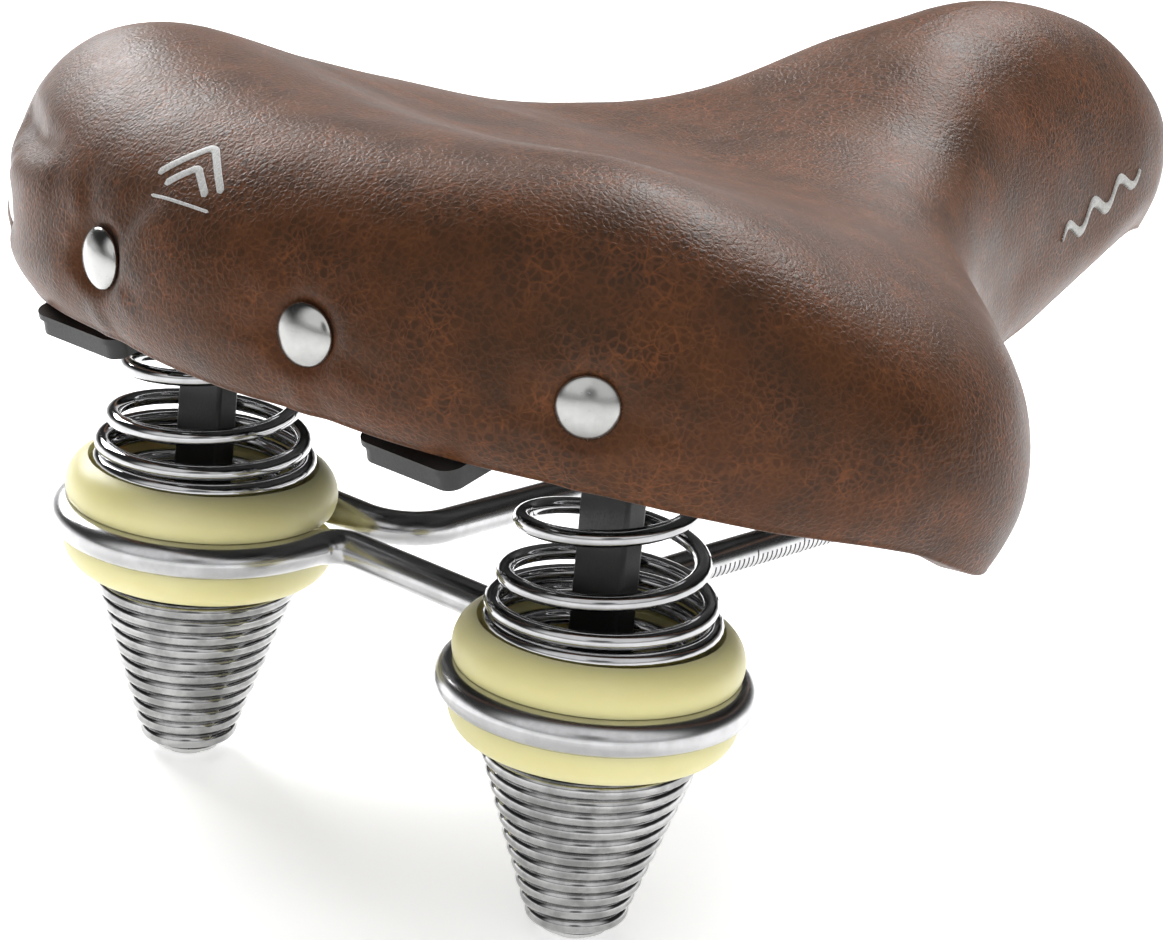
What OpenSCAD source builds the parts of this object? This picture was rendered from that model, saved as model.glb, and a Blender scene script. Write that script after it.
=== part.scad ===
// Sprung comfort bicycle saddle.
// X points forward to the nose, Y to the rider's left and Z up.
// The origin is midway between the rails, at their centrelines' height, in the middle of the clamp zone.

/* [Rail wire] */
// Wire diameter of the rails
rail_d = 7; // [6.5:0.1:8]
// Half the centre spacing of the rails
rail_y = 22; // [20:0.5:24]
// X where the level rails end and start to climb to the nose
rail_rise_x = 38; // [30:1:45]
// Height of the nose bar above the level rails
bar_z = 46; // [40:1:50]
// X of the nose bar
bar_x = 114; // [105:1:120]
// Half the spacing of the two wire legs at the nose
leg_y = 10; // [9:0.5:12]

/* [Springs] */
// X of both spring axes
spring_x = -78; // [-85:1:-70]
// Half the spacing of the spring axes
spring_y = 53; // [50:1:56]
// Spring wire diameter
wire_d = 3.2; // [2.8:0.1:3.6]
// Radius of the wire eye's centreline round each donut
eye_r = 26; // [25:0.5:28]
// Sides of the spring wire's section
wire_sides = 7; // [6:1:10]
// Steps in one turn of a spring
turn_steps = 14; // [12:1:24]

/* [Seat] */
// Cover thickness
cover_t = 1.2; // [0.8:0.1:2]
// Foam thickness at the side walls
foam_side = 3; // [2:0.5:4]
// Base shell thickness
base_t = 2.4; // [2:0.2:4]
// Steps round the half outline
half_steps = 36; // [24:4:60]

/* [Fit] */
// Gap between nested pieces
gap = 0.1; // [0.05:0.05:0.3]
// Radial clearance of the nose bar in its bush
bar_clear = 0.06; // [0.02:0.01:0.1]

/* [Hidden] */

steel = [0.78, 0.78, 0.8];
chrome = [0.85, 0.85, 0.87];
black = [0.07, 0.07, 0.08];
cream = [0.86, 0.83, 0.58];
brown = [0.3, 0.17, 0.12];
foam_colour = [0.75, 0.72, 0.6];

// bends of the rail wire
crossbar_x = spring_x + 12;
crossbar_bend = 6;
eye_front = spring_x + eye_r;
rail_bend = 11;
climb_bend = 25;
leg_bend = 15;
nose_bend = 6;
leg_end_x = bar_x - 14;
rail_r = rail_d / 2;

// Half outline of the seat from the nose tip to the rear centre
// Each row: X, Y of the widest line, its height, height of the lower edge, tuck-in of the lower edge
plan = [
  [144, 0, 65, 40, 3],
  [140, 14, 62, 45, 3],
  [123, 22.5, 56.5, 46.5, 4],
  [87, 28, 49, 36, 4],
  [51, 37.5, 47, 31.5, 4],
  [20, 56.5, 46, 29, 5],
  [-6.5, 87.5, 43.5, 27.5, 5],
  [-32.5, 108.5, 45.5, 28.5, 5],
  [-62, 110, 53, 38.5, 5],
  [-91.5, 96, 59, 44.5, 5],
  [-117.5, 69.5, 60, 49.5, 5],
  [-132.5, 36, 63, 52.5, 5],
  [-137, 0, 65.5, 53, 5]];
last_row = len(plan) - 1;
// Heights along the centre line, one every 30 mm from the rear
crest_start = -150;
crest_step = 30;
seat_crest = [90, 97, 95.5, 87, 82, 78, 82, 93.5, 97.5, 91, 78.5];
shell_crest = [80, 80, 80, 79, 71, 63, 62, 66, 70, 69, 64];
last_crest = len(seat_crest) - 1;
// The spine that the rows of points fan out from
spine_rear = -93;
spine_front = 117;
// Swell of the two sitting areas
lobe_h = 7.5;
lobe_x = -80;
lobe_y = 69;
lobe_length = 45;
lobe_width = 36;
// Fullness of the seat's shoulders: behind, and along the nose
shoulder_rear = 3.5;
shoulder_nose = 2;
shoulder_x = 12;
shoulder_fade = 60;
seat_roundness = 2.35;
shell_roundness = 2.4;
shell_shoulder = 5;
shell_lift = 1;
shell_widest_drop = 2;
// Places of the points from the spine (0) to the widest line (1), then down the skirt (0 to 1)
stations = [0.07, 0.24, 0.4, 0.55, 0.68, 0.79, 0.88, 0.945, 0.985, 1];
skirt = [0.4, 0.75, 1];

// Rivets: X, Y, Z of the seat of the head, and the angle that it faces outward from straight back
rivets = [[-132.5, 26.5, 67.5, 11], [-111.5, 74, 64, 39]];
rivet_head_r = 5.8;
rivet_dome_r = 14;
rivet_dome_h = 1.6;
rivet_shank_r = 1.8;
rivet_shank_depth = 9;
rivet_washer_r = 3.6;
rivet_washer_t = 0.8;
rivet_washer_depth = 8.6;

// Coil spring, each row: turn number, radius of the wire's centre, height
cone_turns = 10;
cone_tip_r = 7.9;
cone_tip_z = -44.7;
cone_flare = 1.05;
cone_pitch = 3.1;
cone = [
  for (turn = [0 : cone_turns])
    [turn, cone_tip_r + cone_flare * turn, cone_tip_z + cone_pitch * turn]];
coil = concat([[-1, 4.6, -45.4]], cone, [
  [11, 19.2, -10.5],
  [12, 17.9, -4.5],
  [13, 17.9, 2],
  [14, 17.9, 8],
  [15, 20.4, 11.8],
  [16, 19.9, 15.1],
  [17, 18, 21],
  [18, 15.8, 32],
  [19, 13.6, 43.5],
  [20, 12.1, 54.4],
  [20.5, 12, 56.2]]);
last_coil = len(coil) - 1;
first_turn = coil[0][0];
all_turns = coil[last_coil][0] - first_turn;
coil_phase = 180;

// Posts, spring cups and the screws that hold them
post_x = 5.3;
post_y = 11.8;
post_bottom = -26;
post_flange_z = 54;
post_flange_t = 4;
post_flange_r = 9.6;
post_foot_z = -43.2;
post_foot_h = 20;
post_foot_r = 5;
cup_z = post_flange_z + post_flange_t + gap;
cup_top = 75.3;
cup_r = 19;
cup_skirt_z = 50;
cup_skirt_r = 18;
cup_bore_r = 15.3;
screw_y = 6.6;
tip_washer_z = -47.7;
tip_washer_t = 0.6;
tip_washer_r = 6.4;
tip_bolt_z = -49;
tip_bolt_head_h = 1.25;
tip_bolt_head_r = 4;
tip_bolt_r = 2.4;

// Bag loops, each a plate whose lower part is set in under a thin lip
loop_x = -122;
loop_y = 31;
loop_z = 44.6;
loop_tilt = 15;
loop_length = 21;
loop_width = 23.5;
loop_t = 4.4;
loop_lip_t = 1.2;
loop_lip = 0.7;
loop_corner = 3.5;
slot_margin = 4;
slot_length = 9;
slot_width = 15.5;
stalk_x = -107.5;
stalk_length = 6;
stalk_bottom = 49;
stalk_top = 73.3;

// Nose anchor
bush_r = 6;
bush_half = 3.6;
clip_r = 8;
clip_half = 3.5;
clip_pad_z = 17.4;
clip_pad_t = 2.5;
nose_screw_back = 13;
nose_screw_y = 3.2;

// A smooth curve from b to c, with a and d the points before and after
function smooth(a, b, c, d, f) = 0.5 * (2 * b + (c - a) * f + (2 * a - 5 * b + 4 * c - d) * f * f
  + (3 * b - a - 3 * c + d) * f * f * f);
function clamp(value, low, high) = max(low, min(high, value));
function unit(v) = v / norm(v);

// ---- the seat's surface ----
function mirrored(row) = [for (k = [0 : len(row) - 1]) k == 1 ? -row[k] : row[k]];
function plan_row(k) = k < 0 ? mirrored(plan[-k])
  : k > last_row ? mirrored(plan[2 * last_row - k])
  : plan[k];
function plan_at(place) =
  let (k = floor(place))
  smooth(plan_row(k - 1), plan_row(k), plan_row(k + 1), plan_row(k + 2), place - k);
function crest_value(table, k) = table[clamp(k, 0, last_crest)];
function crest_at(table, x) =
  let (place = clamp((x - crest_start) / crest_step, 0, last_crest - 0.001),
    k = floor(place))
  smooth(crest_value(table, k - 1), crest_value(table, k), crest_value(table, k + 1),
    crest_value(table, k + 2), place - k);
function lobes(x, y) = lobe_h * exp(-pow((x - lobe_x) / lobe_length, 2)
  - pow((abs(y) - lobe_y) / lobe_width, 2));
function outward(place) =
  let (step = plan_at(place + 0.01) - plan_at(place - 0.01),
    along = unit([step[0], step[1]]))
  [along[1], -along[0]];
function seat_shoulder(x) = shoulder_rear
  + (shoulder_nose - shoulder_rear) * clamp((x - shoulder_x) / shoulder_fade, 0, 1);

// Points of the skirt, from the widest line at edge down to the lower edge
function skirt_points(edge, out, tuck, top, bottom) = [
  for (k = skirt)
    [edge[0] - out[0] * tuck * k * k, edge[1] - out[1] * tuck * k * k, top + (bottom - top) * k]];

// One column of points of the seat skin, set in by inset
function seat_column(place, inset) =
  let (row = plan_at(place),
    out = outward(place),
    edge = [row[0] - out[0] * inset, row[1] - out[1] * inset],
    spine = clamp(edge[0], spine_rear, spine_front),
    power = seat_shoulder(row[0]))
  concat(
    [for (r = stations)
      let (x = spine + (edge[0] - spine) * r,
        y = edge[1] * r,
        top = crest_at(seat_crest, x) + lobes(x, y) - inset)
      [x, y, row[2] + (top - row[2]) * pow(1 - pow(r, power), 1 / seat_roundness)]],
    skirt_points(edge, out, row[4], row[2], row[3]));

// One column of points of the base shell, set in by inset, its top lowered by drop
function shell_column(place, inset, drop) =
  let (row = plan_at(place),
    out = outward(place),
    edge = [row[0] - out[0] * inset, row[1] - out[1] * inset],
    spine = clamp(edge[0], spine_rear, spine_front),
    widest = row[2] - shell_widest_drop)
  concat(
    [for (r = stations)
      let (x = spine + (edge[0] - spine) * r,
        top = max(widest + 1, crest_at(shell_crest, x)) - drop)
      [x, edge[1] * r, widest + (top - widest) * pow(1 - pow(r, shell_shoulder), 1 / shell_roundness)]],
    skirt_points(edge, out, row[4], widest, row[3] + shell_lift));

function on_centre(column, k) = k > 0 && k < half_steps ? column : [for (p = column) [p[0], 0, p[2]]];
function seat_half(inset) = [
  for (k = [0 : half_steps]) on_centre(seat_column(last_row * k / half_steps, inset), k)];
function shell_half(inset, drop) = [
  for (k = [0 : half_steps]) on_centre(shell_column(last_row * k / half_steps, inset, drop), k)];

// ---- a closed skin between an outer and an inner set of half columns ----
function both_sides(half) = concat(half, [
  for (k = [len(half) - 2 : -1 : 1]) [for (p = half[k]) [p[0], -p[1], p[2]]]]);
function turned(face, flipped) = flipped ? [face[2], face[1], face[0]] : face;
function wall_faces(columns, rows, first, flipped) = [
  for (i = [0 : columns - 1], j = [0 : rows - 2])
    let (a = first + i * rows + j,
      b = first + ((i + 1) % columns) * rows + j)
    each [turned([a, b, b + 1], flipped), turned([a, b + 1, a + 1], flipped)]];
function rim_faces(columns, rows, inner) = [
  for (i = [0 : columns - 1])
    let (a = i * rows + rows - 1,
      b = ((i + 1) % columns) * rows + rows - 1)
    each [[a, b, inner + b], [a, inner + b, inner + a]]];
function spine_faces(half, columns, rows, first, flipped) = [
  for (i = [0 : half - 1])
    let (left = first + i * rows,
      left_next = first + (i + 1) * rows,
      right = first + ((columns - i) % columns) * rows,
      right_next = first + ((columns - i - 1) % columns) * rows)
    each concat(
      i == 0 ? [] : [turned([right, left_next, left], flipped)],
      i == half - 1 ? [] : [turned([right, right_next, left_next], flipped)])];
module skin(outer, inner) {
  half = len(outer) - 1;
  rows = len(outer[0]);
  columns = 2 * half;
  inner_first = columns * rows;
  polyhedron(
    points = concat(
      [for (column = both_sides(outer)) each column],
      [for (column = both_sides(inner)) each column]),
    faces = concat(
      wall_faces(columns, rows, 0, false),
      wall_faces(columns, rows, inner_first, true),
      rim_faces(columns, rows, inner_first),
      spine_faces(half, columns, rows, 0, false),
      spine_faces(half, columns, rows, inner_first, true)),
    convexity = 6);
}

// ---- wire pieces ----
// Puts its children at a place, with their own X, Y and Z along three directions
module set_along(x, y, z, at) {
  multmatrix([[x[0], y[0], z[0], at[0]], [x[1], y[1], z[1], at[1]], [x[2], y[2], z[2], at[2]]]) children();
}
function bend_cut(u, v, r) = r * tan(acos(unit(u) * unit(v)) / 2);
// A straight wire from a to b
module rod(a, b) {
  along = unit(b - a);
  sideways = unit(cross(abs(along[2]) > 0.99 ? [1, 0, 0] : [0, 0, 1], along));
  set_along(sideways, cross(along, sideways), along, a) cylinder(h = norm(b - a), r = rail_r, $fn = 48);
}
// A bend at corner, from direction u to direction v
// lap runs its ends into the straights, and thinner makes it a hair thinner than them
module bend(corner, u, v, bend_r, lap = 0, thinner = 0) {
  along = unit(u);
  axis = unit(cross(along, unit(v)));
  side = cross(axis, along);
  angle = acos(along * unit(v));
  centre = corner - along * bend_cut(u, v, bend_r) + side * bend_r;
  lap_angle = lap / bend_r * 180 / PI;
  set_along(-side, along, axis, centre)
    rotate([0, 0, -lap_angle])
      rotate_extrude(angle = angle + 2 * lap_angle, $fn = 96)
        translate([bend_r, 0]) circle(r = rail_r - thinner, $fn = 32);
}
module lap_bend(corner, u, v, bend_r) {
  bend(corner, u, v, bend_r, 0.3, 0.02);
}

// ---- rail wire ----
// A crossbar, an eye round each donut, and a rail each side that climbs to a bar across the nose
module half_rail_wire() {
  rail_start = [eye_front + rail_bend, rail_y, 0];
  climb_start = [rail_rise_x, rail_y, 0];
  leg_start = [leg_end_x, leg_y, bar_z];
  bar_corner = [bar_x, leg_y, bar_z];
  bar_middle = [bar_x, 0, bar_z];
  level = climb_start - rail_start;
  climb = leg_start - climb_start;
  leg = bar_corner - leg_start;
  bar = bar_middle - bar_corner;
  climb_cut = bend_cut(level, climb, climb_bend);
  leg_cut = bend_cut(climb, leg, leg_bend);
  nose_cut = bend_cut(leg, bar, nose_bend);
  rod([crossbar_x, 0, 0], [crossbar_x, spring_y - eye_r - crossbar_bend, 0]);
  bend([crossbar_x, spring_y - eye_r, 0], [0, 1, 0], [-1, 0, 0], crossbar_bend);
  rod([crossbar_x - crossbar_bend, spring_y - eye_r, 0], [spring_x, spring_y - eye_r, 0]);
  translate([spring_x, spring_y, 0])
    rotate_extrude(angle = 270, $fn = 128) translate([eye_r, 0]) circle(r = rail_r, $fn = 32);
  rod([eye_front, spring_y, 0], [eye_front, rail_y + rail_bend, 0]);
  bend([eye_front, rail_y, 0], [0, -1, 0], [1, 0, 0], rail_bend);
  rod(rail_start, climb_start - unit(level) * climb_cut);
  lap_bend(climb_start, level, climb, climb_bend);
  rod(climb_start + unit(climb) * climb_cut, leg_start - unit(climb) * leg_cut);
  lap_bend(leg_start, climb, leg, leg_bend);
  rod(leg_start + unit(leg) * leg_cut, bar_corner - unit(leg) * nose_cut);
  lap_bend(bar_corner, leg, bar, nose_bend);
  rod(bar_corner + unit(bar) * nose_cut, bar_middle);
}
module rail_wire() {
  color(steel) union() {
    half_rail_wire();
    mirror([0, 1, 0]) half_rail_wire();
  }
}

// ---- springs ----
module at_spring(side) {
  translate([spring_x, side * spring_y, 0]) children();
}
// Rubber donut with a groove for the wire's eye and a bore for the coils
module elastomer() {
  bore_r = 19.6;
  color(cream) rotate_extrude($fn = 96) difference() {
    union() {
      translate([20.7, 6.2]) circle(r = 6, $fn = 48);
      translate([20.5, -4.6]) circle(r = 6.2, $fn = 48);
      translate([18, -5]) square([6, 11]);
    }
    translate([eye_r, 0]) circle(r = rail_r + 0.08, $fn = 48);
    translate([0, -20]) square([bore_r, 40]);
    polygon([[0, 7.5], [bore_r, 7.5], [bore_r + 3, 10.5], [bore_r + 3, 20], [0, 20]]);
    polygon([[0, -6.5], [bore_r, -6.5], [bore_r + 1.5, -9], [bore_r + 1.5, -20], [0, -20]]);
  }
}
function coil_at(turn, k) =
  let (i = clamp(floor(turn - first_turn), 0, last_coil - 1),
    f = (turn - coil[i][0]) / (coil[i + 1][0] - coil[i][0]))
  smooth(coil[max(0, i - 1)][k], coil[i][k], coil[i + 1][k], coil[min(last_coil, i + 2)][k], f);
function wire_ring(turn) =
  let (around = coil_phase + 360 * turn,
    r = coil_at(turn, 1),
    z = coil_at(turn, 2))
  [for (k = [0 : wire_sides - 1])
    let (angle = 360 * k / wire_sides,
      reach = r + wire_d / 2 * cos(angle))
    [reach * cos(around), reach * sin(around), z + wire_d / 2 * sin(angle)]];
module spring() {
  steps = floor(all_turns * turn_steps);
  rings = [for (i = [0 : steps]) wire_ring(first_turn + all_turns * i / steps)];
  color(chrome) polyhedron(
    points = [for (ring = rings) each ring],
    faces = concat(
      [for (i = [0 : steps - 1], k = [0 : wire_sides - 1])
        let (a = i * wire_sides + k,
          b = i * wire_sides + (k + 1) % wire_sides)
        each [[a, b, b + wire_sides], [a, b + wire_sides, a + wire_sides]]],
      [[for (k = [wire_sides - 1 : -1 : 0]) k]],
      [[for (k = [0 : wire_sides - 1]) steps * wire_sides + k]]),
    convexity = 10);
}

// ---- seat ----
module cover() {
  color(brown) skin(seat_half(0), seat_half(cover_t));
}
module foam_pad() {
  color(foam_colour) skin(seat_half(cover_t + gap), shell_half(cover_t + foam_side - gap, -gap));
}
module base_shell() {
  color(black) skin(shell_half(cover_t + foam_side, 0), shell_half(cover_t + foam_side + base_t, base_t));
}

// ---- rivets ----
module at_rivets() {
  for (rivet = rivets, side = [1, -1])
    translate([rivet[0], side * rivet[1], rivet[2]])
      rotate([0, 0, 180 - side * rivet[3]]) rotate([0, 90, 0]) children();
}
module cover_rivets() {
  color(chrome) at_rivets() {
    intersection() {
      translate([0, 0, rivet_dome_h - rivet_dome_r]) sphere(r = rivet_dome_r, $fn = 64);
      translate([0, 0, -0.4]) cylinder(r = rivet_head_r, h = 4, $fn = 48);
    }
    translate([0, 0, -rivet_shank_depth])
      cylinder(r = rivet_shank_r, h = rivet_shank_depth + 0.5, $fn = 24);
  }
}
module rivet_washers() {
  color(steel) at_rivets() translate([0, 0, -rivet_washer_depth]) difference() {
    cylinder(r = rivet_washer_r, h = rivet_washer_t, $fn = 40);
    translate([0, 0, -1]) cylinder(r = rivet_shank_r + gap, h = 3, $fn = 24);
  }
}

// ---- posts, cups and their screws ----
module post_section() {
  rib = 3.6;
  corner = 0.85;
  square([post_x, post_y - 2 * corner - 0.1], center = true);
  square([rib, post_y], center = true);
  for (i = [-1, 1], j = [-1, 1])
    translate([i * (post_x / 2 - corner), j * (post_y / 2 - corner)]) circle(r = corner, $fn = 24);
}
module post() {
  color(black) difference() {
    union() {
      translate([0, 0, post_bottom])
        linear_extrude(height = post_flange_z + post_flange_t - post_bottom) post_section();
      translate([0, 0, post_foot_z]) cylinder(r = post_foot_r, h = post_foot_h, $fn = 40);
      translate([0, 0, post_flange_z]) cylinder(r = post_flange_r, h = post_flange_t, $fn = 48);
    }
    translate([0, 0, post_foot_z - 0.8]) cylinder(r = tip_bolt_r + gap, h = 18, $fn = 24);
    for (i = [-1, 1])
      translate([screw_y * i, 0, post_flange_z - 1]) cylinder(r = 1.6, h = post_flange_t + 2, $fn = 24);
  }
}
module spring_cup() {
  color(black) difference() {
    union() {
      translate([0, 0, cup_z]) cylinder(r = cup_r, h = cup_top - cup_z, $fn = 64);
      translate([0, 0, cup_skirt_z]) cylinder(r = cup_skirt_r, h = cup_z - cup_skirt_z + 0.9, $fn = 64);
    }
    translate([0, 0, cup_skirt_z - 1]) cylinder(r = cup_bore_r, h = cup_z - cup_skirt_z + 1.1, $fn = 64);
    for (i = [-1, 1]) translate([screw_y * i, 0, cup_z - 1]) cylinder(r = 1.6, h = 20, $fn = 24);
  }
}
module cup_screws() {
  color(steel) for (side = [1, -1], i = [-1, 1])
    at_spring(side) translate([screw_y * i, 0, 0]) {
      translate([0, 0, post_flange_z - 2.4]) cylinder(r = 2.6, h = 2.3, $fn = 32);
      translate([0, 0, post_flange_z - 2]) cylinder(r = 1.5, h = 26, $fn = 24);
    }
}
module tip_washer() {
  color(steel) difference() {
    translate([0, 0, tip_washer_z]) cylinder(r = tip_washer_r, h = tip_washer_t, $fn = 48);
    translate([0, 0, tip_washer_z - 1]) cylinder(r = tip_bolt_r + 2 * gap, h = 4, $fn = 24);
  }
}
module tip_bolts() {
  color(steel) for (side = [1, -1]) at_spring(side) {
    translate([0, 0, tip_bolt_z]) cylinder(r = tip_bolt_head_r, h = tip_bolt_head_h, $fn = 40);
    translate([0, 0, tip_bolt_z + 1]) cylinder(r = tip_bolt_r, h = 20, $fn = 24);
  }
}

// ---- bag loops: a tilted plate with a strap slot, and a stalk up to the base shell ----
module loop_outline(inset) {
  difference() {
    union() {
      translate([loop_corner, inset]) square([loop_length - loop_corner, loop_width - 2 * inset]);
      translate([inset, loop_corner]) square([loop_length - inset, loop_width - 2 * loop_corner]);
      for (y = [loop_corner, loop_width - loop_corner])
        translate([loop_corner, y]) circle(r = loop_corner - inset, $fn = 32);
    }
    translate([slot_margin, slot_margin]) square([slot_length, slot_width]);
  }
}
module bag_loop() {
  color(black) union() {
    translate([loop_x, loop_y, loop_z]) rotate([0, -loop_tilt, 0]) {
      linear_extrude(height = loop_t - loop_lip_t) loop_outline(loop_lip);
      translate([0, 0, loop_t - loop_lip_t]) linear_extrude(height = loop_lip_t) loop_outline(0);
    }
    translate([stalk_x, loop_y + 0.5, stalk_bottom]) cube([stalk_length, 22, stalk_top - stalk_bottom]);
  }
}
module bag_loop_screws() {
  color(steel) for (side = [1, -1])
    translate([stalk_x + stalk_length / 2, side * (loop_y + 11.5), 0]) {
      translate([0, 0, 46.3]) cylinder(r = 2.6, h = 2.6, $fn = 32);
      translate([0, 0, 47]) cylinder(r = 1.5, h = 31.5, $fn = 24);
    }
}

// ---- nose anchor ----
module across_bar(half) {
  translate([bar_x, 0, bar_z]) rotate([90, 0, 0]) translate([0, 0, -half]) children();
}
module nose_bush() {
  color([0.12, 0.12, 0.13]) across_bar(bush_half) difference() {
    cylinder(r = bush_r, h = 2 * bush_half, $fn = 64);
    translate([0, 0, -1]) cylinder(r = rail_r + bar_clear, h = 2 * bush_half + 3, $fn = 64);
  }
}
module nose_clip() {
  color(steel) difference() {
    union() {
      across_bar(clip_half) cylinder(r = clip_r, h = 2 * clip_half, $fn = 64);
      translate([bar_x - clip_r, -clip_half, bar_z]) cube([2 * clip_r, 2 * clip_half, clip_pad_z + 0.6]);
      translate([bar_x - 17, -6, bar_z + clip_pad_z]) cube([25, 12, clip_pad_t]);
    }
    across_bar(clip_half + 1.5) cylinder(r = bush_r + gap, h = 2 * clip_half + 3, $fn = 64);
    for (side = [-1, 1])
      translate([bar_x - nose_screw_back, nose_screw_y * side, bar_z + clip_pad_z - 2.4])
        cylinder(r = 1.3, h = 10, $fn = 24);
  }
}
module nose_screws() {
  color(steel) for (side = [-1, 1])
    translate([bar_x - nose_screw_back, nose_screw_y * side, bar_z + clip_pad_z]) {
      translate([0, 0, -2.2]) cylinder(r = 2.2, h = 2.1, $fn = 32);
      translate([0, 0, -1.4]) cylinder(r = 1.2, h = 6.6, $fn = 24);
    }
}

rail_wire();
at_spring(1) elastomer();  // left_elastomer
at_spring(-1) elastomer();  // right_elastomer
at_spring(1) spring();  // left_spring
at_spring(-1) spring();  // right_spring
cover();
foam_pad();
base_shell();
cover_rivets();
rivet_washers();
at_spring(1) post();  // left_post
at_spring(-1) post();  // right_post
at_spring(1) spring_cup();  // left_spring_cup
at_spring(-1) spring_cup();  // right_spring_cup
cup_screws();
at_spring(1) tip_washer();  // left_tip_washer
at_spring(-1) tip_washer();  // right_tip_washer
tip_bolts();
bag_loop();  // left_bag_loop
mirror([0, 1, 0]) bag_loop();  // right_bag_loop
bag_loop_screws();
nose_bush();
nose_clip();
nose_screws();
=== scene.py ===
"""Looks of a sprung comfort bicycle saddle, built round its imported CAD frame."""
import math

import bmesh
import bpy
import numpy as np
from mathutils import Matrix, Vector, noise
from mathutils.bvhtree import BVHTree


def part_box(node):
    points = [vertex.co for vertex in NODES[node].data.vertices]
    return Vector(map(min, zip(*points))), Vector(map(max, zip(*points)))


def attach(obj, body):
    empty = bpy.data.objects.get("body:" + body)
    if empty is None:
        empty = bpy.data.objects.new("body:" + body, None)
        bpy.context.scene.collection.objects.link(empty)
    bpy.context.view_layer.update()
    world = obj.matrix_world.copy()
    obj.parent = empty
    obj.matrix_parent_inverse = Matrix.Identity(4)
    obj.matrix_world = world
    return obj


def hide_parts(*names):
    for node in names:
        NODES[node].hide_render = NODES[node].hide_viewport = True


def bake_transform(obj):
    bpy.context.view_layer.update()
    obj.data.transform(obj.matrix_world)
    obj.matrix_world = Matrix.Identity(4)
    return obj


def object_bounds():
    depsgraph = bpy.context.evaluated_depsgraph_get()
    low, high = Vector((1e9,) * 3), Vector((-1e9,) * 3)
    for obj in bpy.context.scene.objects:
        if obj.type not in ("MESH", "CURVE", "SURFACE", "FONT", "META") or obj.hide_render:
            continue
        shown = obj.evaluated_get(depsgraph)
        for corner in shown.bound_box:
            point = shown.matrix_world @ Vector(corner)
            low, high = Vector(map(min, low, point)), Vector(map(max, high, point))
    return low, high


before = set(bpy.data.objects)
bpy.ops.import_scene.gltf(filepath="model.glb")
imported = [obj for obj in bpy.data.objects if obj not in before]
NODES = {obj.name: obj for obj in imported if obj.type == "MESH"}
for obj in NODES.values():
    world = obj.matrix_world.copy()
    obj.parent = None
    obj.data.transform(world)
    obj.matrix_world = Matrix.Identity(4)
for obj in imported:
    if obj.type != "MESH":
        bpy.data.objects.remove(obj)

CAD_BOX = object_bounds()
MM = 0.001
TOP = "saddle_top"
RAIL = "rail_frame"

# ---- driving sizes, in millimetres, as in the CAD source ----
RAIL_Y = 22.0
RAIL_R = 3.5
SPRING_WIRE = 3.2
COVER_T = 1.2
FOAM_SIDE = 3.0
SPINE_X = (-93.0, 117.0)
# half outline of the seat, nose tip to rear centre: X and Y of the widest line, its height,
# the height of the lower edge, and how far the lower edge is tucked in
PLAN = [
    (144, 0, 65, 40, 3),
    (140, 14, 62, 45, 3),
    (123, 22.5, 56.5, 46.5, 4),
    (87, 28, 49, 36, 4),
    (51, 37.5, 47, 31.5, 4),
    (20, 56.5, 46, 29, 5),
    (-6.5, 87.5, 43.5, 27.5, 5),
    (-32.5, 108.5, 45.5, 28.5, 5),
    (-62, 110, 53, 38.5, 5),
    (-91.5, 96, 59, 44.5, 5),
    (-117.5, 69.5, 60, 49.5, 5),
    (-132.5, 36, 63, 52.5, 5),
    (-137, 0, 65.5, 53, 5)]
# heights along the middle, every CREST_STEP from CREST_X0 forward
CREST_X0, CREST_STEP = -150.0, 30.0
SEAT_CREST = [90, 97, 95.5, 87, 82, 78, 82, 93.5, 97.5, 91, 78.5]
BASE_CREST = [80, 80, 80, 79, 71, 63, 62, 66, 70, 69, 64]
# rivets: place and the angle that each faces outward from straight back
RIVETS = [(-132.5, 26.5, 67.5, 11.0), (-111.5, 74.0, 64.0, 39.0)]
# how far each rivet is pressed into the leather
RIVET_PRESS = [0.5, 1.0]
# how far outward of the rivet's place its dimple is centred
RIVET_DIMPLE_OUT = 2.0
# coil springs: turn number, wire centre radius, height
COIL = [
    (-1, 4.6, -45.4), (0, 7.9, -44.7), (1, 8.9, -41.6), (2, 10, -38.5), (3, 11, -35.4),
    (4, 12.1, -32.3), (5, 13.2, -29.2), (6, 14.2, -26.1), (7, 15.3, -23), (8, 16.3, -19.9),
    (9, 17.4, -16.8), (10, 18.4, -13.7), (11, 19.2, -10.5), (12, 17.9, -4.5), (13, 17.9, 2),
    (14, 17.9, 8), (15, 20.4, 11.8), (16, 19.9, 15.1), (17, 18, 21), (18, 15.8, 32),
    (19, 13.6, 43.5), (20, 12.1, 54.4), (20.5, 12, 56.2)]
# angle of turn 0, and the turn at which the upper and lower lengths meet inside the donut
COIL_PHASE = 180.0
COIL_SPLIT = 13.0
# a pair of heights for each length of spring, in millimetres
COILS_BEND_Z = (13.0, 55.0)
CONE_BEND_Z = (-10.0, -45.0)


# ---------------------------------------------------------------- small helpers
def new_object(name, verts, faces, smooth=True):
    """A mesh object from points in millimetres, smooth or flat shaded."""
    mesh = bpy.data.meshes.new(name)
    mesh.from_pydata([(v[0] * MM, v[1] * MM, v[2] * MM) for v in verts], [], faces)
    mesh.validate()
    obj = bpy.data.objects.new(name, mesh)
    bpy.context.scene.collection.objects.link(obj)
    if smooth:
        mesh.polygons.foreach_set("use_smooth", [True] * len(mesh.polygons))
    return obj


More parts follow.
